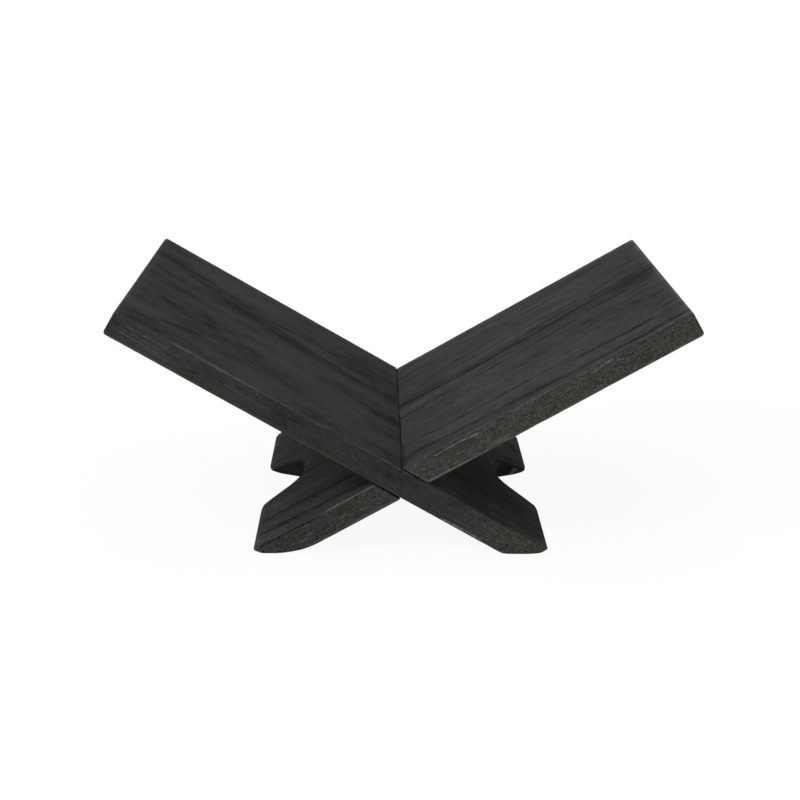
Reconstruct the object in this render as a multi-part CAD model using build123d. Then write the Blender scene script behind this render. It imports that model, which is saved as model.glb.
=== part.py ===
"""Book stand of two identical wooden boards that slot together as an X.

X runs across the open book, Y from the front edge to the back edge and Z up.
The origin is on the table, under the middle of the crossing. Millimetres and degrees.
"""
from build123d import *
import os
from math import cos, radians, sin, tan

# One board
board_width = 250.0          # front edge to back edge
board_thickness = 16.5
board_slope = 30.0           # rise from the table once the stand is put together
panel_length = 213.0         # middle of the crossing up to the square upper end
leg_length = 111.0           # middle of the crossing down to the toe, before it is rounded

# The slot that the other board slides into
slot_side_clearance = 0.5    # beside each face of the other board
slot_end_clearance = 0.25    # each slot runs this far past the middle of the width

# The arch that parts the front foot from the back foot
arch_height = 37.0           # along the board, from the sharp end of the toe
arch_foot_gap = 85.0         # between the feet, at the sharp end of the toe
arch_crown_width = 44.0      # across the top, before it is rounded
arch_crown_radius = 24.0
arch_mouth_radius = 16.0

# The rounding
arris_radius = 1.2           # round the front and back edges
arch_arris_radius = 0.8      # round the arch, on both faces
end_radius = 2.0             # along the upper end
toe_radius = 1.5
heel_radius = 22.0

# How far a cut runs past what it cuts
overrun = 20.0

# Worked out from the sizes above
half_thickness = board_thickness / 2
slope = radians(board_slope)
crossing_angle = 2 * board_slope
crossing_height = leg_length * sin(slope) - half_thickness * cos(slope)
heel_setback = board_thickness / tan(slope)
board_length = panel_length + leg_length


# Each board is made lying flat: X points up the board, Z out of its upper face,
# and the origin is the middle of the crossing.


def board_blank():
    """A plain plank with a square upper end and a foot that will stand level on the table."""
    toe = -leg_length
    heel = toe + heel_setback
    corners = [
        (panel_length, half_thickness),
        (toe, half_thickness),
        (heel, -half_thickness),
        (panel_length, -half_thickness),
    ]
    rounding = [end_radius, toe_radius, heel_radius, end_radius]
    outline = FilletPolyline(*corners, radius=rounding, close=True)
    side = Plane.XZ * make_face(outline)
    return extrude(side, board_width / 2, both=True)


def ease_edges(board):
    """Round the arrises that run round the front edge and round the back edge."""
    arrises = board.faces().filter_by(Axis.Y).edges()
    return fillet(arrises, arris_radius)


def arch_prism():
    """The space between the feet, square through the board and wider at the mouth."""
    mouth = -leg_length
    crown = mouth + arch_height
    beyond = mouth - overrun
    half_gap = arch_foot_gap / 2
    half_crown = arch_crown_width / 2
    half_flare = half_gap + arch_mouth_radius + overrun
    side = [(crown, half_crown), (mouth, half_gap), (mouth, half_flare), (beyond, half_flare)]
    side_rounding = [arch_crown_radius, arch_mouth_radius, 0, 0]
    corners = side + [(x, -y) for x, y in reversed(side)]
    rounding = side_rounding + side_rounding[::-1]
    outline = FilletPolyline(*corners, radius=rounding, close=True)
    return extrude(make_face(outline), half_thickness + overrun, both=True)


def cut_arch(board):
    """Cut the arch and round the arris that it leaves on both faces."""
    prism = arch_prism()
    arched = board - prism
    rim = new_edges(board, prism, combined=arched).filter_by(Axis.Z, reverse=True)
    return fillet(rim, arch_arris_radius)


def slot_slab():
    """The space that the other board fills, with its clearance, from the front edge to mid width."""
    slab = Box(
        2 * board_length,
        board_width / 2 + slot_end_clearance + overrun,
        board_thickness + 2 * slot_side_clearance,
        align=(Align.CENTER, Align.MAX, Align.CENTER),
    )
    return Rot(0, crossing_angle, 0) * Pos(0, slot_end_clearance, 0) * slab


def make_board():
    """One finished board, lying flat, with its slot open at the front edge."""
    board = ease_edges(board_blank())
    board = cut_arch(board)
    return board - slot_slab()


def stand_board(board):
    """Raise a flat board to its slope, so that its feet stand on the table at Z 0."""
    return Pos(0, 0, crossing_height) * Rot(0, -board_slope, 0) * board


def save(node, shape):
    """Write one sub-part to its STEP file."""
    shape.label = node
    export_step(shape, f"parts/{node}.step")


# The same board twice: as made, its panel rises to the right and its slot opens at the front.
# Turned half round, the panel rises to the left and the slot opens at the back.
os.makedirs("parts", exist_ok=True)
right_board = stand_board(make_board())
left_board = Rot(0, 0, 180) * right_board
save("right_board", right_board)
save("left_board", left_board)
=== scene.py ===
"""Looks of a book stand made of two black stained boards that slot together as an X.

X runs across the open book, Y from the front edge to the back edge and Z up, in metres.
"""
from math import copysign, cos, hypot, pi, radians, sin, sqrt, tan

import bmesh
import bpy
from bpy.props import FloatProperty, FloatVectorProperty, IntProperty, PointerProperty
from mathutils import Matrix, Vector


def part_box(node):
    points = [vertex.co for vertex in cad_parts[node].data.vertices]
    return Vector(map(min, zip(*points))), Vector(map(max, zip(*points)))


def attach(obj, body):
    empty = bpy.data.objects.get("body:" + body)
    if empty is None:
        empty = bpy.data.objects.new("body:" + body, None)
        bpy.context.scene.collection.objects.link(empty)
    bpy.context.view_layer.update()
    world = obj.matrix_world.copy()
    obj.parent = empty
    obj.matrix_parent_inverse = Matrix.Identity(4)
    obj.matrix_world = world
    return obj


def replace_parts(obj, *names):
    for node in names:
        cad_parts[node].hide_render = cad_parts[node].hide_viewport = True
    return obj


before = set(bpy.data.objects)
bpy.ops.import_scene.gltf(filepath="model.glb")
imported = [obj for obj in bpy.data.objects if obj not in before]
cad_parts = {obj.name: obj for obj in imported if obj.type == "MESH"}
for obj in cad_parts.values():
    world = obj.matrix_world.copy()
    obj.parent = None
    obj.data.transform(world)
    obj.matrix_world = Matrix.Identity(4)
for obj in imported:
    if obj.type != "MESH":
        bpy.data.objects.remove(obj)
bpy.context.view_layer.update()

bl_info = {
    "name": "Book stand",
    "version": (1, 0, 0),
    "blender": (4, 5, 0),
    "location": "3D View > Sidebar > Book stand",
    "description": "Two stained boards slotted together, with their finish and a studio",
    "category": "Object",
}

MILLIMETRE = 0.001
SLOT_NAME = "black_stained_wood"

# How the CAD boards stand
SLOPE = radians(30)
TURN = {"right_board": 0.0, "left_board": pi}    # about Z, from the board as it is drawn


def measured_board():
    """The thickness and crossing height of the boards and where they end, read from the frame."""
    corners = [v.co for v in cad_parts["right_board"].data.vertices]
    heights = [p.z * cos(SLOPE) - p.x * sin(SLOPE) for p in corners]
    thickness = max(heights) - min(heights)
    crossing = (max(heights) + min(heights)) / 2 / cos(SLOPE)
    along = [p.x * cos(SLOPE) + (p.z - crossing) * sin(SLOPE) for p in corners]
    return thickness, crossing, max(along), -min(along)


BOARD_THICKNESS, CROSSING_HEIGHT, PANEL_LENGTH, TOE_REACH = measured_board()
BOARD_WIDTH = (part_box("right_board")[1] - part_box("right_board")[0]).y
LEG_LENGTH = (CROSSING_HEIGHT + BOARD_THICKNESS / 2 * cos(SLOPE)) / sin(SLOPE)    # to the sharp toe
HEEL = BOARD_THICKNESS / tan(SLOPE) - LEG_LENGTH    # where the sole meets the lower face
CREASE = BOARD_THICKNESS / 2 * tan(SLOPE)           # where the upper faces of the boards meet


def standing(node):
    """The placing that raises a flat board to where the frame has it.

    Flat, X points up the board, Z out of its upper face, and the origin is the middle of the crossing.
    """
    turn = Matrix.Rotation(TURN[node], 4, "Z")
    lift = Matrix.Translation((0, 0, CROSSING_HEIGHT))
    return turn @ lift @ Matrix.Rotation(-SLOPE, 4, "Y")


# Sizes and colours that a user would change


def length(name, text, value, **more):
    """A property that holds a length in metres."""
    return FloatProperty(name=name, description=text, default=value, unit="LENGTH", precision=5, **more)


def share(name, text, value, top=1.0):
    """A property that holds a share between nothing and a whole."""
    return FloatProperty(name=name, description=text, default=value, min=0, max=top, subtype="FACTOR")


def colour(name, text, value):
    """A property that holds a colour."""
    return FloatVectorProperty(
        name=name, description=text, default=value, min=0, max=1, subtype="COLOR")


def amount(name, text, value):
    """A property that holds a number that is never less than nothing."""
    return FloatProperty(name=name, description=text, default=value, min=0)


def angle(name, text, degrees):
    """A property that holds an angle, given in degrees."""
    return FloatProperty(name=name, description=text, default=radians(degrees), subtype="ANGLE")


class BookStandBoard(bpy.types.PropertyGroup):
    """What sets one board apart from the other"""

    longer: length("Longer", "How much longer the panel is than it was drawn", 0.0)
    heel_radius: length("Heel radius", "Rounding of the front foot's heel", 0.022)
    toe_wear: length("Toe wear", "How far the sole is worn away at the tip of the front foot", 0.0)
    sawn: share("Sawn", "How rough the sawn front and back edges are", 0.5)
    paleness: share("Paleness", "How pale the stain came out on the faces", 0.5)
    grain: share("Grain", "How strongly the grain shows on the faces", 0.8, top=2)
    clouds: share("Clouds", "How cloudy the stain is on the faces", 1.0, top=2)
    flecks: share("Flecks", "How many pale flecks the front and the leg have", 0.5, top=2)
    seed: IntProperty(name="Seed", description="Which piece of timber this is", default=1)


class BookStandShape(bpy.types.PropertyGroup):
    """How finely the boards are cut up and how uneven they are"""

    along_step: length("Along step", "Spacing of the mesh along a board", 0.004)
    across_step: length("Across step", "Spacing of the mesh across a board", 0.0016)
    through_step: length("Through step", "Spacing of the mesh through a board", 0.002)
    heel_radius: length("Heel radius", "Rounding of the heels as drawn", 0.022)
    arris_radius: length("Arris radius", "Rounding of the front and back arrises as drawn", 0.0012)
    sharpness: share("Sharpness", "How much sharper than drawn those arrises are", 0.8)
    thicker: length("Thicker", "How far each face lies outside the drawn one", 0.00025)
    leg_play: length("Leg play", "How much more room the slot has by the leg", 0.00085)
    panel_play: length("Panel play", "How much more room the slot has by the panel", 0.00055)
    slot_mouth: length("Slot mouth", "Width of the wear along the slot's edges", 0.0004)
    wave: length("Wave", "Height of the planed waves on the faces", 0.00012)
    grain: length("Grain", "Depth of the raised grain", 0.00005)
    chips: length("Chips", "Depth of the chips out of the arrises", 0.00025)
    toe_corner: length("Toe corner", "Rounding of the corners at the ends of the toes", 0.0060)
    arch_wear: length("Arch wear", "How far the toes are worn back beside the arch", 0.0015)
    fibre_length: length("Fibre length", "Length of a torn fibre on the sawn edges", 0.0035)
    fibre_width: length("Fibre width", "Width of a torn fibre", 0.00035)
    fibre_density: amount("Fibre density", "Torn fibres on a square metre of sawn edge", 60000)


class BookStandFinish(bpy.types.PropertyGroup):
    """Black stain over open grained wood"""

    deep: colour("Deep stain", "The stain in the darkest streaks and pores", (0.0095, 0.0090, 0.0080))
    stain: colour("Stain", "The stain on sound wood", (0.0330, 0.0317, 0.0288))
    pale: colour("Pale stain", "The stain where the wood took least of it", (0.0660, 0.0640, 0.0592))
    end: colour("End grain", "The stain on end grain, which drinks more", (0.0130, 0.0124, 0.0112))
    # worn and bare are also the colours of the painted highlight along the arrises, bare on its
    # brightest glints
    worn: colour("Worn", "Wood that shows where arrises are rubbed", (0.1250, 0.1210, 0.1110))
    bare: colour("Bare", "Wood that the strongest strokes laid bare", (0.2050, 0.1980, 0.1805))
    crumb: colour("Crumb", "The dark crumbs of the sawn edges", (0.0270, 0.0262, 0.0224))
    sawn: colour("Sawn", "The pale crumbs of the sawn edges", (0.0690, 0.0667, 0.0608))
    olive: colour("Olive", "The patches of another tint on the sawn edges", (0.0370, 0.0366, 0.0270))
    roughness: share("Roughness", "Roughness of the stained surface", 0.82)
    gloss: share("Gloss", "How much the stained surface mirrors", 0.035)
    relief: length("Relief", "Depth of the finest grain, which only the material shows", 0.00012)


class BookStandStage(bpy.types.PropertyGroup):
    """The camera and the lamps of the studio"""

    lens: FloatProperty(name="Lens", description="Focal length in millimetres", default=72.216, min=1)
    camera: FloatVectorProperty(
        name="Camera", description="Where the camera stands", default=(-0.01617, -1.10092, 0.38786),
        subtype="TRANSLATION")
    heading: angle("Heading", "Turn of the camera to the right", 0.866)
    pitch: angle("Pitch", "Tilt of the camera downwards", 16.183)
    roll: angle("Roll", "Turn of the camera anticlockwise", 0.491)
    key: amount("Key lamp", "Power of the lamp at the upper left", 25)
    fill: amount("Fill lamp", "Power of the lamp at the right", 2.5)
    top: amount("Top lamp", "Power of the lamp above", 6)
    surround: share("Surround", "Light from the white room", 0.65, top=4)
    shadow: share("Shadow", "How much of the floor's own light and shade shows beside the stand", 0.07)
    shadow_reach: length("Shadow reach", "Where the floor has faded to plain white", 0.9)


class BookStandSettings(bpy.types.PropertyGroup):
    """All the settings of the book stand"""

    left_board: PointerProperty(type=BookStandBoard)
    right_board: PointerProperty(type=BookStandBoard)
    shape: PointerProperty(type=BookStandShape)
    finish: PointerProperty(type=BookStandFinish)
    stage: PointerProperty(type=BookStandStage)


# Node trees


class Nodes:
    """Adds nodes to a tree and joins each one to what feeds it."""

    def __init__(self, tree):
        self.tree = tree

    def node(self, kind, *feeds, **options):
        """A node whose inputs take the feeds in order: sockets, plain values, or None to skip one."""
        node = self.tree.nodes.new(kind)
        for option, value in options.items():
            setattr(node, option, value)
        inputs = [socket for socket in node.inputs if socket.enabled]
        for socket, feed in zip(inputs, feeds):
            self.feed(socket, feed)
        return node

    def named(self, kind, feeds, **options):
        """A node whose inputs take the feeds by name."""
        node = self.node(kind, **options)
        for name, feed in feeds.items():
            self.feed(node.inputs[name], feed)
        return node

    def feed(self, socket, feed):
        """Link or set one input. A colour of three numbers is opaque."""
        if isinstance(feed, bpy.types.NodeSocket):
            self.tree.links.new(feed, socket)
        elif feed is not None:
            colour_alone = socket.type == "RGBA" and len(feed) == 3
            socket.default_value = (*feed, 1.0) if colour_alone else feed

    def out(self, kind, *feeds, **options):
        """The first output of a new node."""
        node = self.node(kind, *feeds, **options)
        return next(socket for socket in node.outputs if socket.enabled)

    def math(self, operation, *feeds):
        return self.out("ShaderNodeMath", *feeds, operation=operation)

    def times(self, *feeds):
        """All the feeds multiplied."""
        product = feeds[0]
        for feed in feeds[1:]:
            product = self.math("MULTIPLY", product, feed)
        return product

    def scaled(self, value, factor, shift):
        return self.math("MULTIPLY_ADD", value, factor, shift)

    def minus(self, value, taken):
        return self.math("SUBTRACT", value, taken)

    def absolute(self, value):
        return self.math("ABSOLUTE", value)

    def vector(self, operation, *feeds):
        return self.out("ShaderNodeVectorMath", *feeds, operation=operation)

    def combine(self, *feeds):
        return self.out("ShaderNodeCombineXYZ", *feeds)

    def ramp(self, value, start, stop, low=0.0, high=1.0):
        """A smooth step from low to high as the value goes from start to stop."""
        return self.out(
            "ShaderNodeMapRange", value, start, stop, low, high, interpolation_type="SMOOTHSTEP")

    def noise(self, place, size, seed=0.0, detail=2.0):
        """Noise whose grains are as long in each direction as size says, evenly spread about 0.5."""
        scale = tuple(1 / s for s in size)
        return self.out(
            "ShaderNodeTexNoise", self.vector("MULTIPLY", place, scale), seed, 1.0, detail, 0.5,
            noise_dimensions="4D")

    def mix(self, share, low, high):
        """A colour between two others."""
        return self.out("ShaderNodeMix", share, low, high, data_type="RGBA")

    def sum(self, *feeds):
        """All the feeds added up."""
        total = feeds[0]
        for feed in feeds[1:]:
            total = self.math("ADD", total, feed)
        return total


def empty_material(name):
    """A new material without nodes, and the builder of its nodes."""
    material = bpy.data.materials.new(name)
    material.use_nodes = True
    material.node_tree.nodes.clear()
    return material, Nodes(material.node_tree)


# The figure of each board: dark lines along the grain of its upper face.
# Each has its darkness, its width, and points up the board and across it, in millimetres.
# A line with less than no darkness is a pale one. The one 110 mm wide over the left board's leg is no
# line but painted shade, where the leg lies under the other board's panel.
FIGURE_AND_SHADE = {
    "left_board": (
        (0.62, 2.6, ((-15, -26), (30, -27), (50, -29), (90, -37), (130, -52))),
        (0.44, 2.6, ((130, -52), (170, -68), (225, -74))),
        (0.24, 10.0, ((40, -20), (60, -22), (110, -30), (160, -50), (180, -60))),
        (0.22, 1.8, ((60, -2), (100, -4), (140, -6))),
        (0.24, 7.0, ((146, 45), (160, 44))),
        (0.24, 8.0, ((172, 42), (194, 42))),
        (0.34, 6.0, ((158, 79), (184, 88))),
        (0.20, 7.0, ((78, 65), (92, 64))),
        (0.20, 7.0, ((112, 51), (128, 49))),
        (0.18, 8.0, ((6, 106), (32, 104))),
        (-0.10, 20.0, ((100, -76), (160, -80))),
        # painted shade: the leg darkens where it lies under the other board's panel
        (0.30, 110.0, ((-110, 20), (-20, 50))),
        (0.14, 50.0, ((-111, -90), (-60, -90))),
    ),
    "right_board": (
        (0.80, 3.2, ((-4, 14), (50, 12.5), (100, 14.5), (150, 17), (225, 23))),
        (0.22, 9.0, ((-4, 24), (60, 20), (120, 23), (225, 30))),
        (0.44, 1.8, ((-4, -14), (60, -12), (120, -9), (155, -3), (205, 0))),
        (0.20, 3.6, ((-4, 87), (60, 92), (110, 94), (150, 102), (225, 108))),
        (0.20, 1.8, ((-4, 54), (60, 56), (120, 61), (180, 63))),
        (0.22, 1.8, ((20, 39), (80, 40), (150, 42), (225, 44))),
        (-0.12, 2.4, ((40, 47), (190, 50))),
        (-0.12, 2.4, ((40, 35), (190, 37))),
        (0.34, 2.2, ((20, -82), (60, -84), (110, -85), (150, -94), (225, -92))),
        (0.38, 4.0, ((10, -105), (60, -109), (110, -114), (150, -117), (215, -116))),
        (0.16, 150.0, ((176, 0), (232, 0))),
        (0.40, 2.2, ((-77, -17), (-48, -18))),
        (0.38, 4.5, ((-103, -78), (-60, -79), (-24, -82))),
        (0.44, 5.0, ((-100, -102), (-60, -105), (-18, -110))),
        (0.20, 2.2, ((-98, 48), (-58, 50))),
        (-0.16, 8.0, ((-98, -91), (-40, -94))),
        (-0.22, 14.0, ((-100, -60), (-78, -62))),
        (0.12, 50.0, ((-111, 90), (-60, 90))),
    ),
}

# Pale strokes on the front edge of each board, where it was rubbed or torn.
# Each has its paleness, its width, and its two ends as a place up the board and a height above
# the middle of its thickness, in millimetres. One with less than no paleness is a dark stroke.
# The pale strokes along the upper arris are partly rubbed wear and partly painted highlight,
# and the thin dark strokes just under them are painted shade. The strokes 30 mm wide cover
# the whole edge and make it paler or darker along a stretch; on the left board they are
# painted light and shade, paler at the outer end and darker towards the crossing.
STROKES = {
    "left_board": (
        (0.42, 0.8, (-4, 8.0), (42, 8.0)),
        (0.34, 0.8, (60, 8.0), (108, 8.1)),
        (0.80, 0.8, (66, 7.7), (68, 7.3)),
        (0.48, 1.0, (109, 8.1), (145, 8.2)),
        (0.34, 0.9, (145, 8.2), (172, 8.2)),
        (1.00, 0.6, (109.2, 6.7), (109.8, 5.0)),
        (0.30, 0.5, (96, 0.6), (131, 0.8)),
        (0.34, 0.5, (172, 3.2), (200, 3.4)),
        (0.34, 0.5, (176, -2.2), (204, -2.0)),
        (0.28, 0.4, (184, 0.6), (205, 0.4)),
        (0.28, 0.4, (168, -3.7), (190, -3.9)),
        (0.30, 0.8, (150, -8.0), (212, -8.0)),
        # painted shade: thin dark lines just under the pale arris strokes
        (-0.45, 0.5, (-4, 6.9), (40, 6.9)),
        (-0.40, 0.5, (75, 6.9), (100, 6.9)),
        (-0.40, 0.5, (155, 7.0), (172, 7.0)),
        # painted light and shade: these strokes 30 mm wide, and the one down the leg further on, make
        # the whole edge paler at its outer end and darker towards the crossing
        (0.10, 30, (170, 0), (212, 0)),
        (-0.32, 30, (-8, 0), (60, 0)),
        (-0.17, 30, (60, 0), (110, 0)),
        (0.85, 0.9, (-64, -7.2), (-34, -7.2)),
        (-0.10, 30, (-112, 0), (-62, 0)),
        (0.34, 0.4, (-70, -3.0), (-25, -4.4)),
        (0.34, 0.4, (-76, -5.0), (-44, -6.0)),
        (-0.40, 0.4, (-72, -4.0), (-30, -5.4)),
        (0.30, 0.4, (-80, 2.5), (-52, 1.0)),
    ),
    "right_board": (
        (0.75, 0.8, (28, 6.2), (45, 6.7)),
        (0.85, 0.9, (45, 6.7), (60, 5.3)),
        (0.40, 0.7, (50, 8.1), (69, 8.1)),
        (0.55, 0.6, (86, 7.3), (111, 8.0)),
        (0.30, 0.6, (111, 7.8), (140, 7.6)),
        (0.70, 0.7, (142, 4.6), (152, 6.3)),
        (0.90, 0.8, (152, 6.3), (157, 6.0)),
        (0.80, 0.7, (159, 5.2), (160.5, 3.6)),
        (0.40, 0.8, (174, 8.3), (184, 8.4)),
        (0.40, 0.8, (189, 8.3), (201, 8.4)),
        # painted shade: thin dark lines just under the pale arris strokes
        (-0.60, 0.5, (174, 7.2), (184, 7.4)),
        (-0.60, 0.5, (189, 7.0), (205, 7.5)),
        (-0.45, 0.5, (28, 7.4), (50, 7.7)),
        (0.70, 0.7, (7.6, 7.6), (16.4, -7.2)),
        (0.90, 0.6, (17, -7.3), (60, -7.3)),
        (0.60, 0.4, (17, -6.6), (32, -6.7)),
        (0.34, 3.0, (62, -5.0), (75, -6.0)),
        (0.40, 0.4, (24, 6.0), (27, 2.0)),
        (1.00, 0.7, (-52, 7.9), (-12, 7.9)),
        (0.85, 0.7, (-47, -1.4), (-41, 0.2)),
        (0.75, 0.6, (-50, -4.2), (-45, -3.4)),
        (0.75, 0.8, (-32, -2.0), (-27, -3.2)),
        (0.70, 0.7, (-78, -3.0), (-70, -1.6)),
        (0.50, 0.8, (-74, -6.5), (-20, -7.8)),
        (-0.60, 0.9, (-101, 8.0), (-60, 7.2)),
        (-0.38, 30, (-110, 0), (-8, 0)),
        (-0.10, 30, (5, 0), (60, 0)),
        (-0.10, 30, (150, 0), (212, 0)),
    ),
}

# Where the arch of each board is paler, on both of its sides.
# Each patch has its paleness, and where it starts and stops along the board, in millimetres.
ARCH_PATCHES = {
    "left_board": (
        (0.22, -84.0, -70.0),
        (0.90, -98.5, -95.5),
        (0.25, -108.0, -99.5),
    ),
    "right_board": (
        (0.06, -98.0, -86.0),
    ),
}


class FlatPlace:
    """Where a point lies on its board as if the board lay flat, in millimetres."""

    def __init__(self, nodes, node, seed):
        self.nodes = nodes
        self.seed = float(seed)
        placing = nodes.named("ShaderNodeMapping", {
            "Vector": nodes.node("ShaderNodeTexCoord").outputs["Object"],
            "Location": (0, 0, CROSSING_HEIGHT),
            "Rotation": (0, -SLOPE, TURN[node]),
            "Scale": (MILLIMETRE, MILLIMETRE, MILLIMETRE),
        }, vector_type="TEXTURE")
        self.spot = placing.outputs[0]
        parts = nodes.node("ShaderNodeSeparateXYZ", self.spot).outputs
        self.along, self.across, self.through = parts[:3]
        half_width = BOARD_WIDTH / MILLIMETRE / 2
        half_thickness = BOARD_THICKNESS / MILLIMETRE / 2
        to_front = 1.0 if TURN[node] else -1.0
        self.from_front = nodes.scaled(self.across, -to_front, half_width)
        self.from_edge = nodes.minus(half_width, nodes.absolute(self.across))
        self.from_face = nodes.minus(half_thickness, nodes.absolute(self.through))
        from_end = nodes.minus(PANEL_LENGTH / MILLIMETRE, self.along)
        from_toe = nodes.math("ADD", self.along, TOE_REACH / MILLIMETRE)
        self.from_tip = nodes.math("MINIMUM", from_end, from_toe)

    def noise(self, size, number, detail=2.0):
        """Noise all over the board. Each noise has a number that tells it from the others."""
        return self.nodes.noise(self.spot, size, self.seed + number, detail)


def between(nodes, value, start, stop, fade):
    """1 where a value lies between two others, fading to 0 on either side."""
    rise = nodes.ramp(value, start - fade, start + fade)
    return nodes.times(rise, nodes.ramp(value, stop + fade, stop - fade))


def figure_line(nodes, along, across, spread, line):
    """The darkness of one line of the figure, where spread widens and narrows it."""
    darkness, width, points = line
    margin = 20.0
    lowest = -LEG_LENGTH / MILLIMETRE - margin
    span = PANEL_LENGTH / MILLIMETRE + margin - lowest
    half_width = BOARD_WIDTH / MILLIMETRE / 2
    shortest_fade = 6.0
    travel = nodes.scaled(along, 1 / span, -lowest / span)
    curve = nodes.node("ShaderNodeFloatCurve", 1.0, travel)
    stops = [((x - lowest) / span, y / half_width / 2 + 0.5) for x, y in points]
    curve_points = curve.mapping.curves[0].points
    curve_points[0].location = stops[0]
    curve_points[1].location = stops[-1]
    for stop in stops[1:-1]:
        curve_points.new(*stop)
    curve.mapping.update()
    middle = nodes.scaled(curve.outputs[0], 2 * half_width, -half_width)
    away = nodes.absolute(nodes.minus(across, middle))
    start, stop = points[0][0], points[-1][0]
    ends = between(nodes, along, start, stop, max(min(width, (stop - start) / 2), shortest_fade))
    reach = nodes.times(spread, width)
    return nodes.times(ends, nodes.ramp(away, reach, 0.0, 0.0, darkness))


def stroke(nodes, place, line):
    """The paleness of one stroke on the front edge."""
    paleness, width, (start, low), (stop, high) = line
    shortest_fade = 0.8
    core = 0.3    # the share of the width that is as pale as the stroke gets
    middle = nodes.out("ShaderNodeMapRange", place.along, start, stop, low, high)
    away = nodes.absolute(nodes.minus(place.through, middle))
    ends = between(nodes, place.along, start, stop, min(max(width, shortest_fade), (stop - start) / 2))
    return nodes.times(ends, nodes.ramp(away, width, width * core, 0.0, paleness))


def swing(nodes, value, amount):
    """A noise value turned into a swing about nothing."""
    return nodes.scaled(value, amount, -amount / 2)


def growth_rings(nodes, place):
    """Where a point grew: up the trunk, out from its heart and across the board.

    The heart lies below the board, and the rings round it wander a little on their way.
    """
    heart_across, heart_depth = 18.0, 75.0
    wandering = 22.0
    sideways = nodes.minus(place.across, heart_across)
    upwards = nodes.math("ADD", place.through, heart_depth)
    from_heart = nodes.vector("LENGTH", nodes.combine(sideways, upwards, 0.0)).node.outputs["Value"]
    ring = nodes.scaled(place.noise((190, 70, 70), 0), wandering, from_heart)
    return nodes.combine(place.along, ring, place.across)


def figure_and_shade_darkness(nodes, place, node):
    """The darkness of all the figure lines of a board, and of any painted shade on its leg, which
    wobble and are a little broken.
    """
    wobble = swing(nodes, place.noise((42, 12, 12), 6, 3), 9.0)
    wobbly = nodes.math("ADD", place.across, wobble)
    spread = nodes.ramp(place.noise((30, 6, 8), 20, 3), 0.32, 0.68, 0.6, 1.8)
    figure = nodes.sum(*[
        figure_line(nodes, place.along, wobbly, spread, line) for line in FIGURE_AND_SHADE[node]])
    broken = nodes.ramp(place.noise((26, 1.8, 8), 7, 4), 0.33, 0.6, 0.55, 1.3)
    return nodes.times(figure, broken)


def rim_paleness_and_crease_shade(nodes, place):
    """How much paler the upper face is by its rims, with a painted highlight fading in beside the front
    arris, less a painted shade along the crease between the boards.
    """
    # painted shade: a dark line along the crease where the upper faces of the boards meet
    crease = nodes.absolute(nodes.minus(place.along, CREASE / MILLIMETRE))
    painted_crease_shade = nodes.ramp(crease, 1.0, 0.3, 0.0, 0.22)
    whole_width = BOARD_WIDTH / MILLIMETRE
    rims = nodes.sum(
        nodes.ramp(place.from_front, whole_width - 12.0, whole_width - 1.0, 0.0, 0.22),
        # painted highlight: a pale fade over the face beside the front arris
        nodes.ramp(place.from_front, 6.0, 1.0, 0.0, 0.08),
        nodes.ramp(place.from_tip, 9.0, 0.5, 0.0, 0.20),
    )
    return nodes.minus(rims, painted_crease_shade)


def planed_face(nodes, place, node, board, finish):
    """The stain on the planed faces, and the height of their grain."""
    growth = growth_rings(nodes, place)
    bands = nodes.noise(growth, (150, 6, 60), place.seed + 1)
    lines = nodes.noise(growth, (45, 2.2, 14), place.seed + 2, 3)
    fibres = place.noise((8, 1.3, 1.1), 3, 4)
    mottle = place.noise((11, 7, 7), 15, 2)
    cloud = place.noise((60, 26, 26), 4, 2)
    pores = nodes.ramp(place.noise((9, 0.9, 0.7), 5), 0.57, 0.70)
    flecks = nodes.ramp(place.noise((3.0, 1.0, 0.8), 12, 3), 0.57, 0.69)
    on_panel = between(nodes, place.from_front, 8.0, 90.0, 16.0)
    flecked = nodes.math("MAXIMUM", on_panel, nodes.ramp(place.along, -20.0, -70.0, 0.0, 1.3))
    on_top = nodes.ramp(place.through, 4.0, 7.0)
    grain = nodes.sum(
        swing(nodes, bands, 0.5),
        swing(nodes, lines, 0.8),
        swing(nodes, fibres, 1.45),
        swing(nodes, mottle, 0.45),
        nodes.times(pores, -0.2),
    )
    tone = nodes.sum(
        board.paleness,
        nodes.times(grain, board.grain),
        swing(nodes, cloud, 1.3 * board.clouds),
        nodes.times(flecks, flecked, 0.40 * board.flecks),
        nodes.times(figure_and_shade_darkness(nodes, place, node), on_top, -1.0),
        nodes.times(rim_paleness_and_crease_shade(nodes, place), on_top),
    )
    dark_side = nodes.mix(nodes.ramp(tone, 0.0, 0.5), finish.deep, finish.stain)
    shade = nodes.mix(nodes.ramp(tone, 0.5, 1.0), dark_side, finish.pale)
    height = nodes.sum(
        nodes.times(lines, 0.7),
        nodes.times(fibres, 0.8),
        nodes.times(pores, -0.6),
    )
    return shade, height


def end_grain(nodes, place, node, finish):
    """The stain on the sawn ends, the soles, the arch and the slot."""
    patches = nodes.ramp(place.noise((6, 9, 3), 16, 4), 0.35, 0.70, 0.0, 0.42)
    pits = nodes.ramp(place.noise((1.0, 1.2, 0.9), 17, 2), 0.55, 0.68)
    shade = nodes.mix(patches, finish.end, finish.stain)
    shade = nodes.mix(nodes.times(pits, 0.5), shade, finish.deep)
    torn = nodes.ramp(place.noise((1.6, 1.6, 9), 22, 3), 0.35, 0.60, 0.45, 1.25)
    in_arch = nodes.ramp(place.from_edge, 76.0, 80.0)
    patched = nodes.sum(*[
        nodes.times(between(nodes, place.along, start, stop, 1.0), paleness)
        for paleness, start, stop in ARCH_PATCHES[node]])
    patched = nodes.times(patched, torn, in_arch)
    return nodes.mix(patched, shade, finish.worn)


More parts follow.
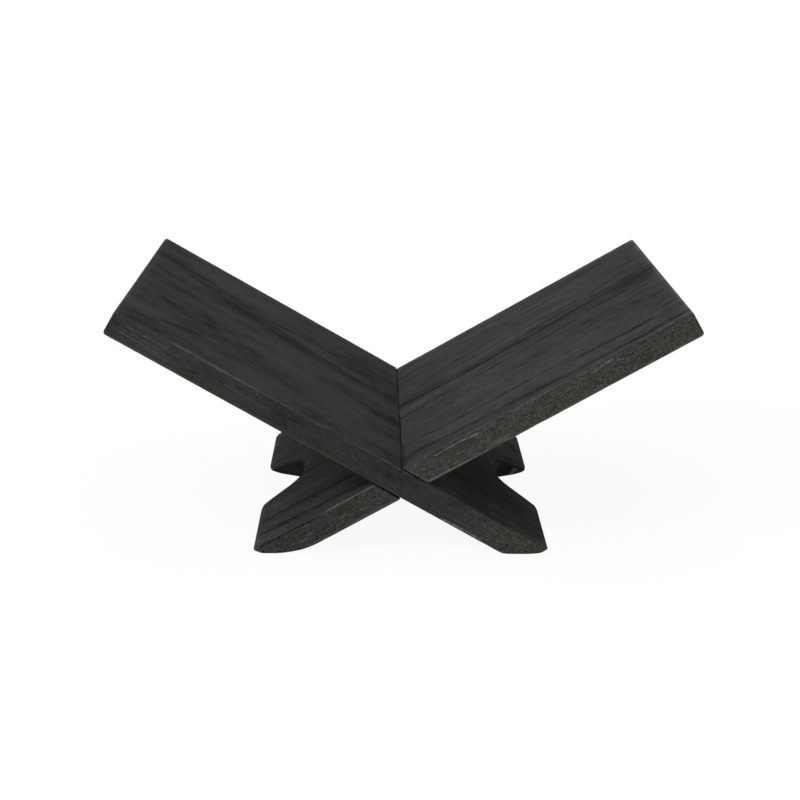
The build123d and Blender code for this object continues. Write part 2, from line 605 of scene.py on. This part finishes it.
def sawn_edge(nodes, place, board, finish, face):
    """The colour of the sawn front and back edges, and the height of their crumbs."""
    crumbs = place.noise((1.7, 1.3, 1.3), 9, 3)
    threads = place.noise((9, 1.0, 0.9), 14, 3)
    flecks = nodes.ramp(place.noise((2.6, 1.1, 0.9), 10, 3), 0.56, 0.68)
    patches = nodes.ramp(place.noise((16, 7, 7), 8, 3), 0.52, 0.66)
    clusters = nodes.ramp(place.noise((14, 5, 5), 19, 2), 0.44, 0.60)
    rough = nodes.sum(nodes.times(crumbs, 0.65), nodes.times(threads, 0.35))
    contrast = nodes.ramp(place.noise((18, 6, 6), 21, 2), 0.40, 0.60, 0.5, 1.6)
    rough = nodes.scaled(nodes.minus(rough, 0.5), contrast, 0.5)
    sawn = nodes.mix(nodes.ramp(rough, 0.41, 0.59), finish.crumb, finish.sawn)
    sawn = nodes.mix(nodes.times(patches, 0.8), sawn, finish.olive)
    torn = nodes.times(flecks, nodes.scaled(clusters, 0.95, 0.10))
    sawn = nodes.mix(torn, sawn, finish.worn)
    sawn_share = nodes.ramp(place.along, -30.0, -90.0, board.sawn, min(board.sawn + 0.8, 1.0))
    shade = nodes.mix(sawn_share, face, sawn)
    height = nodes.times(nodes.math("ADD", rough, flecks), 1.0 + 2.0 * board.sawn)
    return shade, height


def arris_wear_and_highlight(nodes, place, board):
    """How far the arrises are pale, by chance along all but the one that has its strokes: partly rubbed
    wear and partly painted highlight, and at the ends and toes painted light on rims that turn from the
    lamps.
    """
    from_edge = nodes.absolute(place.from_edge)
    # painted light: the ends and toes count as arrises here, so their rims, which turn from the lamps,
    # are painted paler
    from_side = nodes.math("MINIMUM", from_edge, nodes.absolute(place.from_tip))
    away = nodes.math("ADD", from_side, nodes.absolute(place.from_face))
    arris = nodes.ramp(away, 2.0, 0.6)
    upper = nodes.ramp(place.through, -2.0, 2.0)
    in_front = nodes.times(nodes.ramp(place.from_front, 20.0, 10.0), upper)
    spared = nodes.scaled(in_front, -0.85, 1.0)
    most = 0.10 + 0.40 * board.sawn
    rub = nodes.ramp(place.noise((13, 3, 3), 11, 4), 0.42, 0.66, most / 4, most)
    return nodes.times(arris, spared, rub)


def front_strokes(nodes, place, node):
    """How pale and how dark the listed strokes are, a little broken up."""
    strokes = nodes.sum(*[stroke(nodes, place, line) for line in STROKES[node]])
    broken = nodes.ramp(place.noise((3, 0.9, 0.9), 18), 0.34, 0.60, 0.35, 1.1)
    strokes = nodes.times(strokes, broken, nodes.ramp(place.from_front, 1.6, 0.9))
    pale = nodes.math("MAXIMUM", strokes, 0.0)
    dark = nodes.math("MAXIMUM", nodes.times(strokes, -1.0), 0.0)
    return pale, dark


def wood(node, board, finish):
    """Black stained wood with the figure, sawn edges and rubbed arrises of one board."""
    material, nodes = empty_material(f"{SLOT_NAME}_{node}")
    place = FlatPlace(nodes, node, board.seed)
    face, face_height = planed_face(nodes, place, node, board, finish)
    edge, edge_height = sawn_edge(nodes, place, board, finish, face)
    on_edge = nodes.ramp(place.from_edge, 1.1, 0.4)
    on_end = nodes.ramp(place.from_face, 0.9, 2.0)
    shade = nodes.mix(on_end, face, end_grain(nodes, place, node, finish))
    shade = nodes.mix(on_edge, shade, edge)

    pale_strokes, dark_strokes = front_strokes(nodes, place, node)
    # pale rubs and strokes along the arrises: partly rubbed wear, partly painted highlight; the dark
    # strokes are partly painted shade just under the arris
    rubbed = nodes.math("MAXIMUM", pale_strokes, arris_wear_and_highlight(nodes, place, board))
    shade = nodes.mix(rubbed, shade, finish.worn)
    shade = nodes.mix(nodes.ramp(pale_strokes, 0.55, 1.05), shade, finish.bare)
    shade = nodes.mix(dark_strokes, shade, finish.deep)

    # Grain and saw marks too fine for the mesh
    height = nodes.out("ShaderNodeMix", on_edge, face_height, edge_height, data_type="FLOAT")
    bump = nodes.named("ShaderNodeBump", {
        "Height": height, "Strength": 1.0, "Distance": finish.relief})

    surface = nodes.named("ShaderNodeBsdfPrincipled", {
        "Base Color": shade,
        "Roughness": nodes.scaled(on_edge, 0.08, finish.roughness),
        "Specular IOR Level": finish.gloss,
        "Normal": bump.outputs[0],
    })
    nodes.node("ShaderNodeOutputMaterial", surface.outputs[0])
    return material


def fibre_wood(node, board, finish):
    """The wood of torn fibres, paler on the rougher board."""
    material, nodes = empty_material(f"torn_fibre_{node}")
    spot = nodes.node("ShaderNodeTexCoord").outputs["Object"]
    shade = nodes.ramp(nodes.noise(spot, (0.006, 0.006, 0.006), 3.0), 0.3, 0.7)
    palest = nodes.mix(board.sawn, finish.sawn, finish.worn)
    surface = nodes.named("ShaderNodeBsdfPrincipled", {
        "Base Color": nodes.mix(shade, finish.sawn, palest),
        "Roughness": 0.8,
        "Specular IOR Level": 0.1,
    })
    nodes.node("ShaderNodeOutputMaterial", surface.outputs[0])
    return material


# Geometry trees


def geometry_tree(name, inputs):
    """An empty Geometry Nodes tree with a geometry input and the named inputs, and its builder."""
    tree = bpy.data.node_groups.new(name, "GeometryNodeTree")
    interface = tree.interface
    interface.new_socket("Geometry", in_out="INPUT", socket_type="NodeSocketGeometry")
    interface.new_socket("Geometry", in_out="OUTPUT", socket_type="NodeSocketGeometry")
    for label, kind in inputs.items():
        interface.new_socket(label, in_out="INPUT", socket_type=f"NodeSocket{kind}")
    nodes = Nodes(tree)
    entry = nodes.node("NodeGroupInput")
    return tree, nodes, entry.outputs


def close_tree(nodes, geometry, material):
    """End a tree in plain geometry with its material on."""
    solid = nodes.out("GeometryNodeRealizeInstances", geometry)
    dressed = nodes.out("GeometryNodeSetMaterial", solid, None, material)
    nodes.node("NodeGroupOutput", dressed)


def arris_nearness(nodes, place, reach):
    """1 on the arrises round the front and back edges, falling to 0 at the reach from them."""
    axes = nodes.node("ShaderNodeSeparateXYZ", place).outputs
    from_edge = nodes.minus(BOARD_WIDTH / 2, nodes.absolute(axes[1]))
    from_face = nodes.minus(BOARD_THICKNESS / 2, nodes.absolute(axes[2]))
    away = nodes.math("ADD", nodes.absolute(from_edge), nodes.absolute(from_face))
    rounded = 0.0007
    return nodes.ramp(away, reach, rounded)


def relief_tree():
    """Planed waves, raised grain and chipped arrises on a flat board."""
    tree, nodes, given = geometry_tree("Board relief", {
        "Wave": "Float", "Grain": "Float", "Chips": "Float", "Seed": "Float", "Material": "Material"})
    place = nodes.out("GeometryNodeInputPosition")
    normal = nodes.out("GeometryNodeInputNormal")
    waves = nodes.noise(place, (0.12, 0.045, 0.045), given["Seed"])
    ridges = nodes.noise(place, (0.05, 0.004, 0.004), given["Seed"])
    gouges = nodes.noise(place, (0.011, 0.005, 0.005), given["Seed"], 3)
    chip_reach = 0.0035
    near = arris_nearness(nodes, place, chip_reach)
    crest = 0.6    # noise seldom gets higher, so the relief lies under the face
    height = nodes.sum(
        nodes.times(nodes.minus(waves, crest), given["Wave"]),
        nodes.times(nodes.minus(ridges, crest), given["Grain"]),
        nodes.times(near, nodes.ramp(gouges, 0.5, 0.75), nodes.times(given["Chips"], -1.0)),
    )
    offset = nodes.named("ShaderNodeVectorMath", {"Vector": normal, "Scale": height}, operation="SCALE")
    moved = nodes.named("GeometryNodeSetPosition", {
        "Geometry": given["Geometry"], "Offset": offset.outputs[0]})
    close_tree(nodes, moved.outputs[0], given["Material"])
    return tree


def spindle(nodes, length_socket, width_socket):
    """One fibre: a thin spindle that arches a little out of the wood."""
    segments, sides = 5, 5
    half = nodes.times(length_socket, 0.5)
    rise = nodes.times(width_socket, 0.6)
    line = nodes.named("GeometryNodeCurveQuadraticBezier", {
        "Resolution": segments,
        "Start": nodes.combine(nodes.times(half, -1.0), 0.0, 0.0),
        "Middle": nodes.combine(0.0, 0.0, rise),
        "End": nodes.combine(half, 0.0, 0.0),
    })
    travel = nodes.out("GeometryNodeSplineParameter")
    within = nodes.scaled(travel, 0.9, 0.05)
    taper = nodes.math("SINE", nodes.times(within, pi))
    spine = nodes.out("GeometryNodeSetCurveRadius", line.outputs[0], None, taper)
    ring = nodes.named("GeometryNodeCurvePrimitiveCircle", {
        "Resolution": sides, "Radius": nodes.times(width_socket, 0.5)})
    fibre = nodes.named("GeometryNodeCurveToMesh", {
        "Curve": spine, "Profile Curve": ring.outputs[0], "Fill Caps": True})
    return fibre.outputs[0]


def lying_askew(nodes, normal):
    """The turn of each fibre: flat on the wood, along its grain and a little askew."""
    align = "FunctionNodeAlignRotationToVector"
    flat = nodes.out(align, None, 1.0, normal, axis="Z")
    along = nodes.out(align, flat, 1.0, (1.0, 0.0, 0.0), axis="X", pivot_axis="Z")
    most_turn = Vector((0.05, 0.05, 0.16))
    askew = nodes.out("FunctionNodeRandomValue", -most_turn, most_turn, data_type="FLOAT_VECTOR")
    return nodes.out("FunctionNodeRotateRotation", along, askew, rotation_space="LOCAL")


def fibre_tree():
    """Torn fibres lying along the sawn front and back edges of a flat board."""
    tree, nodes, given = geometry_tree("Torn fibres", {
        "Density": "Float", "Length": "Float", "Width": "Float", "Seed": "Int", "Material": "Material"})
    place = nodes.out("GeometryNodeInputPosition")
    normal = nodes.out("GeometryNodeInputNormal")
    axes = nodes.node("ShaderNodeSeparateXYZ", place).outputs
    facing = nodes.absolute(nodes.node("ShaderNodeSeparateXYZ", normal).outputs[1])
    thick = nodes.ramp(nodes.noise(place, (0.03, 0.02, 0.006), 5.0), 0.42, 0.62)
    bare_rim = BOARD_THICKNESS / 2 - 0.001
    covered = BOARD_THICKNESS / 2 - 0.002
    clear = nodes.ramp(nodes.absolute(axes[2]), bare_rim, covered)
    where = nodes.times(nodes.ramp(facing, 0.97, 0.99), nodes.times(thick, clear))
    scatter = nodes.named("GeometryNodeDistributePointsOnFaces", {
        "Mesh": given["Geometry"],
        "Density": nodes.times(where, given["Density"]),
        "Seed": given["Seed"],
    }, distribute_method="RANDOM")
    smallest, largest = 0.35, 1.3
    on_points = nodes.named("GeometryNodeInstanceOnPoints", {
        "Points": scatter.outputs["Points"],
        "Instance": spindle(nodes, given["Length"], given["Width"]),
        "Rotation": lying_askew(nodes, scatter.outputs["Normal"]),
        "Scale": nodes.out("FunctionNodeRandomValue", smallest, largest, data_type="FLOAT"),
    })
    close_tree(nodes, on_points.outputs[0], given["Material"])
    return tree


def add_object(name, data):
    """A new object of the scene, at the origin."""
    added = bpy.data.objects.new(name, data)
    bpy.context.scene.collection.objects.link(added)
    return added


def through_tree(mesh, tree, values, name):
    """The plain mesh that a Geometry Nodes tree makes of a mesh, with its inputs set by identifier."""
    holder = add_object(name, mesh)
    modifier = holder.modifiers.new(tree.name, "NODES")
    modifier.node_group = tree
    for socket in tree.interface.items_tree:
        if socket.in_out == "INPUT" and socket.name in values:
            modifier[socket.identifier] = values[socket.name]
    depsgraph = bpy.context.evaluated_depsgraph_get()
    result = bpy.data.meshes.new_from_object(holder.evaluated_get(depsgraph), depsgraph=depsgraph)
    bpy.data.objects.remove(holder)
    result.name = name
    return result


# Boards


TINY = 1e-5    # closer than this is the same place


def slice_up(bm, axis, start, stop, step):
    """Cut all the faces by planes across one axis, a step apart."""
    normal = Vector((0, 0, 0))
    normal[axis] = 1
    count = round((stop - start) / step)
    for i in range(count + 1):
        place = normal * (start + (stop - start) * i / count)
        everything = bm.verts[:] + bm.edges[:] + bm.faces[:]
        bmesh.ops.bisect_plane(bm, geom=everything, dist=1e-7, plane_co=place, plane_no=normal)


def is_slot_edge(edge):
    """Whether an edge is one of the four that run along the slot, from the front edge to mid width."""
    run = edge.verts[0].co - edge.verts[1].co
    near_crossing = abs(edge.verts[0].co.x) < BOARD_THICKNESS
    shortest = 0.4 * BOARD_WIDTH
    return near_crossing and abs(run.x) < TINY and abs(run.y) > shortest


def ease_slot(bm, shape):
    """Widen the slot a little on both sides, and wear its four long edges."""
    other_board = Vector((sin(2 * SLOPE), 0, cos(2 * SLOPE)))
    slot_edges = [edge for edge in bm.edges if is_slot_edge(edge)]
    heights = [vertex.co.dot(other_board) for edge in slot_edges for vertex in edge.verts]
    leg_wall, panel_wall = min(heights), max(heights)
    for vertex in bm.verts:
        height = vertex.co.dot(other_board)
        if abs(height - leg_wall) < TINY:
            vertex.co -= other_board * shape.leg_play
        elif abs(height - panel_wall) < TINY:
            vertex.co += other_board * shape.panel_play
    bmesh.ops.bevel(bm, geom=slot_edges, offset=shape.slot_mouth, segments=2, affect="EDGES")


def flat_grid(node, shape):
    """A copy of a CAD board, merged and laid flat, with its faces cut into an even grid."""
    bm = bmesh.new()
    bm.from_mesh(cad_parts[node].data)
    bmesh.ops.remove_doubles(bm, verts=bm.verts, dist=1e-6)
    bmesh.ops.dissolve_limit(bm, angle_limit=radians(0.1), verts=bm.verts, edges=bm.edges)
    bm.transform(standing(node).inverted())
    ease_slot(bm, shape)
    margin = 0.003
    toe_margin, toe_step = 0.0006, 0.0008
    toe = min(vertex.co.x for vertex in bm.verts)
    slice_up(bm, 0, toe + toe_margin, toe + shape.toe_corner, toe_step)
    slice_up(bm, 0, toe + shape.toe_corner + margin, PANEL_LENGTH - margin, shape.along_step)
    slice_up(bm, 1, margin / 2 - BOARD_WIDTH / 2, BOARD_WIDTH / 2 - margin / 2, shape.across_step)
    slice_up(bm, 2, margin - BOARD_THICKNESS / 2, BOARD_THICKNESS / 2 - margin, shape.through_step)
    return bm


def thicken(bm, by):
    """Bring both faces of a board out by a little, down to just above the soles."""
    heel = Vector((HEEL, 0, -BOARD_THICKNESS / 2))
    up = Vector((sin(SLOPE), 0, cos(SLOPE)))
    fade = 0.004
    for vertex in bm.verts:
        above_sole = (vertex.co - heel).dot(up)
        share_here = min(max(above_sole / fade, 0.0), 1.0)
        vertex.co.z *= 1 + share_here * by / (BOARD_THICKNESS / 2)


def sharpen_arrises(bm, radius, by):
    """Draw the rounding of the front and back arrises out towards sharp corners, by a share."""
    middle_across = BOARD_WIDTH / 2 - radius
    middle_through = BOARD_THICKNESS / 2 - radius
    for vertex in bm.verts:
        across = abs(vertex.co.y) - middle_across
        through = abs(vertex.co.z) - middle_through
        if across > 0 and through > 0:
            to_corner = hypot(across, through) / max(across, through)
            grow = 1 + (to_corner - 1) * by
            vertex.co.y = copysign(middle_across + across * grow, vertex.co.y)
            vertex.co.z = copysign(middle_through + through * grow, vertex.co.z)


def lengthen(bm, by):
    """Draw the upper third of the panel out by a little, or in where it is less than nothing."""
    start = PANEL_LENGTH * 2 / 3
    for vertex in bm.verts:
        if vertex.co.x > start:
            vertex.co.x += by * (vertex.co.x - start) / (PANEL_LENGTH - start)


def rounding_depth(distance, radius):
    """How deep a rounding of the heel lies under the flat, at a distance from the sharp corner."""
    reach = radius * tan(SLOPE / 2)
    if distance >= reach:
        return 0.0
    return radius - sqrt(radius ** 2 - (reach - distance) ** 2)


def wear_front_foot(bm, side, old_radius, new_radius, toe_wear):
    """Round the heel of the front foot anew and wear its sole away towards the toe."""
    heel = Vector((HEEL, 0, -BOARD_THICKNESS / 2))
    sole = Vector((-cos(SLOPE), 0, sin(SLOPE)))
    up = Vector((sin(SLOPE), 0, cos(SLOPE)))
    inwards = (up + Vector((0, 0, 1))).normalized()
    worn_length = 0.018
    worn_depth = 0.007
    fade_start, fade_stop = 0.005, 0.020
    sole_length = (LEG_LENGTH + HEEL) / cos(SLOPE)
    worn_height = toe_wear * 2    # how high above the sole the wear at the toe is felt
    for vertex in bm.verts:
        on_foot = min((vertex.co.y * side - fade_start) / (fade_stop - fade_start), 1.0)
        if on_foot <= 0:
            continue
        from_heel = Vector((vertex.co.x, 0, vertex.co.z)) - heel
        above_sole = from_heel.dot(up)
        depth = max(min(above_sole, from_heel.z), 0.0)
        distance = from_heel.length if depth < worn_depth else abs(from_heel.dot(sole))
        deeper = rounding_depth(distance, new_radius) - rounding_depth(distance, old_radius)
        move = inwards * deeper * max(1 - depth / worn_depth, 0.0)
        towards_toe = from_heel.dot(sole) - (sole_length - worn_length)
        if toe_wear and towards_toe > 0 and above_sole < worn_height:
            lift = toe_wear * (towards_toe / worn_length) ** 1.5
            move += up * lift * (1 - max(above_sole, 0) / worn_height)
        vertex.co += move * on_foot


def wear_arch_mouth(bm, by):
    """Wear the toes back a little where they turn into the arch."""
    start, stop = 0.051, 0.041
    reach = 0.008
    toe = min(vertex.co.x for vertex in bm.verts)
    for vertex in bm.verts:
        inwards = (start - abs(vertex.co.y)) / (start - stop)
        near_toe = 1 - (vertex.co.x - toe) / reach
        if inwards > 0 and near_toe > 0:
            vertex.co.x += by * min(inwards, 1.0) ** 2 * near_toe


def round_toes(bm, radius):
    """Round the corners that the toes make with the front and back edges, seen from above."""
    middle_along = min(vertex.co.x for vertex in bm.verts) + radius
    middle_across = BOARD_WIDTH / 2 - radius
    for vertex in bm.verts:
        along = middle_along - vertex.co.x
        across = abs(vertex.co.y) - middle_across
        if along > 0 and across > 0:
            shrink = max(along, across) / hypot(along, across)
            vertex.co.x = middle_along - along * shrink
            vertex.co.y = copysign(middle_across + across * shrink, vertex.co.y)


def smooth(mesh):
    """Shade a mesh smooth, apart from its corners."""
    corner = radians(32)
    mesh.shade_smooth()
    mesh.set_sharp_from_angle(angle=corner)


def place_piece(mesh, node, name):
    """Stand a flat mesh up, make it an object and let it ride on the board's body."""
    mesh.transform(standing(node))
    piece = add_object(name, mesh)
    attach(piece, node)
    return piece


def make_board(node, settings):
    """Build one board and its torn fibres in place of the CAD board."""
    board = getattr(settings, node)
    shape = settings.shape
    front = 1 if TURN[node] else -1
    bm = flat_grid(node, shape)
    sharpen_arrises(bm, shape.arris_radius, shape.sharpness)
    thicken(bm, shape.thicker)
    lengthen(bm, board.longer)
    wear_front_foot(bm, front, shape.heel_radius, board.heel_radius, board.toe_wear)
    wear_arch_mouth(bm, shape.arch_wear)
    round_toes(bm, shape.toe_corner)
    base = bpy.data.meshes.new(f"{node}_flat")
    bm.to_mesh(base)
    bm.free()
    smooth(base)
    material = wood(node, board, settings.finish)
    relief = through_tree(base, relief_tree(), {
        "Wave": shape.wave, "Grain": shape.grain, "Chips": shape.chips,
        "Seed": float(board.seed), "Material": material}, f"{node}_wood")
    smooth(relief)
    fibres = through_tree(relief, fibre_tree(), {
        "Density": shape.fibre_density * board.sawn, "Length": shape.fibre_length,
        "Width": shape.fibre_width, "Seed": board.seed,
        "Material": fibre_wood(node, board, settings.finish)}, f"{node}_fibres")
    fibres.shade_smooth()
    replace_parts(place_piece(relief, node, f"{node}_wood"), node)
    place_piece(fibres, node, f"{node}_fibres")


class BOOKSTAND_OT_left_board(bpy.types.Operator):
    """Build the board whose panel rises to the left"""

    bl_idname = "book_stand.left_board"
    bl_label = "Left board"

    def execute(self, context):
        make_board("left_board", context.scene.book_stand)
        return {"FINISHED"}


class BOOKSTAND_OT_right_board(bpy.types.Operator):
    """Build the board whose panel rises to the right"""

    bl_idname = "book_stand.right_board"
    bl_label = "Right board"

    def execute(self, context):
        make_board("right_board", context.scene.book_stand)
        return {"FINISHED"}


# Studio


def add_camera(stage):
    """The camera, where the photographer stood."""
    data = bpy.data.cameras.new("camera")
    data.lens = stage.lens
    data.sensor_width = 36
    camera = add_object("camera", data)
    camera.matrix_world = (
        Matrix.Translation(stage.camera)
        @ Matrix.Rotation(-stage.heading, 4, "Z")
        @ Matrix.Rotation(pi / 2 - stage.pitch, 4, "X")
        @ Matrix.Rotation(stage.roll, 4, "Z")
    )
    bpy.context.scene.camera = camera


def add_lamp(name, place, size, power):
    """A soft square lamp that faces the middle of the stand."""
    data = bpy.data.lights.new(name, "AREA")
    data.shape = "SQUARE"
    data.size = size
    data.energy = power
    lamp = add_object(name, data)
    lamp.location = place
    aim = Vector((0, 0, 0.08)) - lamp.location
    lamp.rotation_euler = aim.to_track_quat("-Z", "Y").to_euler()


def seen_directly(nodes):
    """1 for rays that come straight from the camera, off a gloss or through glass."""
    path = nodes.node("ShaderNodeLightPath").outputs
    seen = nodes.math("MAXIMUM", path["Is Camera Ray"], path["Is Glossy Ray"])
    return nodes.math("MAXIMUM", seen, path["Is Transmission Ray"])


def add_floor(stage):
    """A plain white floor that keeps the stand's soft shadow."""
    half = 4.0
    grey, white = (0.8, 0.8, 0.8), (1.0, 1.0, 1.0)
    mesh = bpy.data.meshes.new("floor")
    corners = [(-half, -half, 0), (half, -half, 0), (half, half, 0), (-half, half, 0)]
    mesh.from_pydata(corners, [], [(0, 1, 2, 3)])
    floor = add_object("floor", mesh)
    material, nodes = empty_material("floor_paper")
    seen = seen_directly(nodes)
    spot = nodes.node("ShaderNodeTexCoord").outputs["Object"]
    away = nodes.node("ShaderNodeVectorMath", spot, operation="LENGTH").outputs["Value"]
    shadow_share = nodes.ramp(away, stage.shadow_reach, stage.shadow_reach / 3, 0.0, stage.shadow)
    paper_white = nodes.mix(seen, grey, white)
    paper = nodes.out("ShaderNodeBsdfDiffuse", paper_white)
    glow = nodes.out("ShaderNodeEmission", white, 1.0)
    share_of_glow = nodes.times(seen, nodes.minus(1.0, shadow_share))
    nodes.node("ShaderNodeOutputMaterial", nodes.out("ShaderNodeMixShader", share_of_glow, paper, glow))
    mesh.materials.append(material)


def light_world(stage):
    """White to the camera, and a soft even light on the stand."""
    world = bpy.data.worlds.new("studio")
    bpy.context.scene.world = world
    world.use_nodes = True
    tree = world.node_tree
    tree.nodes.clear()
    nodes = Nodes(tree)
    strength = nodes.out(
        "ShaderNodeMix", seen_directly(nodes), stage.surround, 1.0, data_type="FLOAT")
    background = nodes.out("ShaderNodeBackground", (1.0, 1.0, 1.0), strength)
    nodes.node("ShaderNodeOutputWorld", background)


class BOOKSTAND_OT_stage(bpy.types.Operator):
    """Set up the camera, the lamps and the floor"""

    bl_idname = "book_stand.stage"
    bl_label = "Stage"

    def execute(self, context):
        stage = context.scene.book_stand.stage
        context.scene.view_settings.view_transform = "Standard"
        add_camera(stage)
        add_lamp("key_lamp", (-1.3, -1.1, 1.6), 1.2, stage.key)
        add_lamp("fill_lamp", (1.5, -1.0, 0.9), 1.4, stage.fill)
        add_lamp("top_lamp", (0.0, 0.5, 1.9), 1.4, stage.top)
        add_floor(stage)
        light_world(stage)
        return {"FINISHED"}


class BOOKSTAND_PT_sidebar(bpy.types.Panel):
    """Everything that builds the book stand, in the order to run it"""

    bl_idname = "BOOKSTAND_PT_sidebar"
    bl_label = "Book stand"
    bl_space_type = "VIEW_3D"
    bl_region_type = "UI"
    bl_category = "Book stand"

    def draw(self, context):
        settings = context.scene.book_stand
        for title in ("left_board", "right_board", "shape", "finish", "stage"):
            group = getattr(settings, title)
            box = self.layout.box()
            box.label(text=title.replace("_", " ").capitalize())
            for name in group.bl_rna.properties.keys():
                if name not in ("rna_type", "name"):
                    box.prop(group, name)
        for operator in OPERATORS:
            self.layout.operator(operator.bl_idname)


# What sets each board apart from the other
BOARDS = {
    "left_board": {
        "longer": -0.0010, "heel_radius": 0.010, "toe_wear": 0.002,
        "sawn": 0.20, "paleness": 0.37, "grain": 0.70, "clouds": 0.8, "flecks": 0.3, "seed": 11,
    },
    "right_board": {
        "longer": 0.0013, "heel_radius": 0.060,
        "sawn": 1.0, "paleness": 0.51, "grain": 0.85, "clouds": 0.5, "flecks": 1.5, "seed": 42,
    },
}

OPERATORS = (BOOKSTAND_OT_left_board, BOOKSTAND_OT_right_board, BOOKSTAND_OT_stage)
GROUPS = (BookStandBoard, BookStandShape, BookStandFinish, BookStandStage, BookStandSettings)
CLASSES = (*GROUPS, *OPERATORS, BOOKSTAND_PT_sidebar)


def register():
    for each in CLASSES:
        bpy.utils.register_class(each)
    bpy.types.Scene.book_stand = PointerProperty(type=BookStandSettings)


def unregister():
    del bpy.types.Scene.book_stand
    for each in reversed(CLASSES):
        bpy.utils.unregister_class(each)


def main():
    """Build the whole scene."""
    register()
    settings = bpy.context.scene.book_stand
    for node, values in BOARDS.items():
        board = getattr(settings, node)
        for name, value in values.items():
            setattr(board, name, value)
    bpy.ops.book_stand.left_board()
    bpy.ops.book_stand.right_board()
    bpy.ops.book_stand.stage()


if __name__ == "__main__":
    main()
